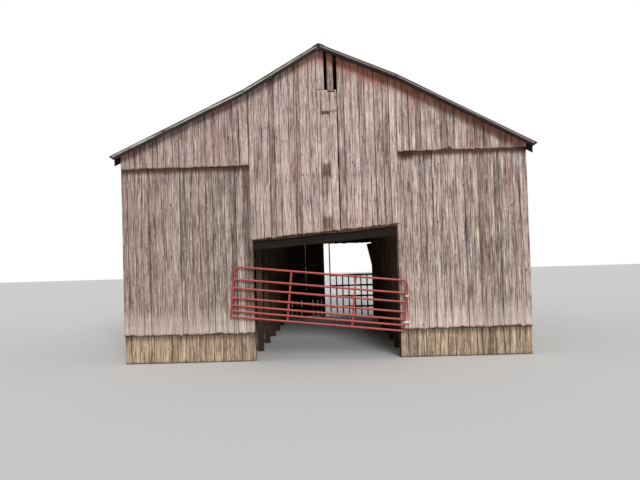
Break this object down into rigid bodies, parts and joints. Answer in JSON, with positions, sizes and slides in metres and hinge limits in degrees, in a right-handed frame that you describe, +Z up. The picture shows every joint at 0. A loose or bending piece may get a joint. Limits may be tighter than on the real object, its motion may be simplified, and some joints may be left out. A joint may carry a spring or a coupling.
{
  "type": "barn",
  "caption": "Gable-front farm barn with a pole frame, weathered board walls, a ribbed metal roof, a drive-through doorway and a swinging tube gate.",
  "frame": {"origin": "on the ground, under the middle of the roof's outline", "axes": "+X to the right seen from the gated front, +Y from the front to the back, +Z up"},
  "size_m": [10.4027, 12.8, 7.7043],
  "materials": {
    "front_boards": "weathered bare boards with worn red paint",
    "rear_boards": "weathered bare boards",
    "side_boards": "weathered bare boards with worn red paint",
    "skirt_boards": "weathered bare boards",
    "frame_timber": "rough sawn, dull",
    "header_timber": "rough sawn, dull",
    "verge_timber": "weathered",
    "fence_timber": "weathered",
    "door_boards": "weathered, dark",
    "grey_roof_metal": "dull galvanised sheet with rust",
    "rusty_roof_metal": "dull rusted sheet",
    "gate_paint": "faded red enamel, satin",
    "gate_hinge_metal": "painted, rust at the edges",
    "zinc_pins": "zinc plated"
  },
  "bodies": {
    "barn": {"front_gable": "front_boards", "front_wing_left": "front_boards", "front_wing_right": "front_boards", "front_wall_left": "front_boards", "front_wall_right": "front_boards", "front_skirts": "skirt_boards", "rear_gable": "rear_boards", "rear_wall_left": "rear_boards", "rear_wall_right": "rear_boards", "rear_skirts": "skirt_boards", "side_wall_left": "side_boards", "side_wall_right": "side_boards", "side_skirts": "skirt_boards", "front_girts": "frame_timber", "rear_girts": "frame_timber", "side_girts": "frame_timber", "corner_posts": "frame_timber", "wall_posts_left": "frame_timber", "wall_posts_right": "frame_timber", "drive_posts_left": "frame_timber", "drive_posts_right": "frame_timber", "wing_posts": "frame_timber", "door_posts": "frame_timber", "header_beams": "header_timber", "ledger": "header_timber", "gable_studs": "frame_timber", "eave_plates": "frame_timber", "purlin_plates": "frame_timber", "tie_beams": "frame_timber", "knee_braces": "frame_timber", "rafters_left": "frame_timber", "rafters_right": "frame_timber", "battens_left": "frame_timber", "battens_right": "frame_timber", "roof_left": "grey_roof_metal", "roof_right": "rusty_roof_metal", "ridge_cap": "grey_roof_metal", "verge_boards": "verge_timber", "rear_fence": "fence_timber", "leaning_door": "door_boards", "gate_pins": "zinc_pins"},
    "gate": {"gate_frame": "gate_paint", "gate_bars": "gate_paint", "gate_stays": "gate_paint", "gate_hinges": "gate_hinge_metal"}
  },
  "joints": [
    {"name": "gate_swing", "type": "hinge", "parent": "barn", "child": "gate", "pos_m": [2, -6.21, 0.84996], "axis": [0, 0, 1], "range_deg": [0, 165]}
  ]
}
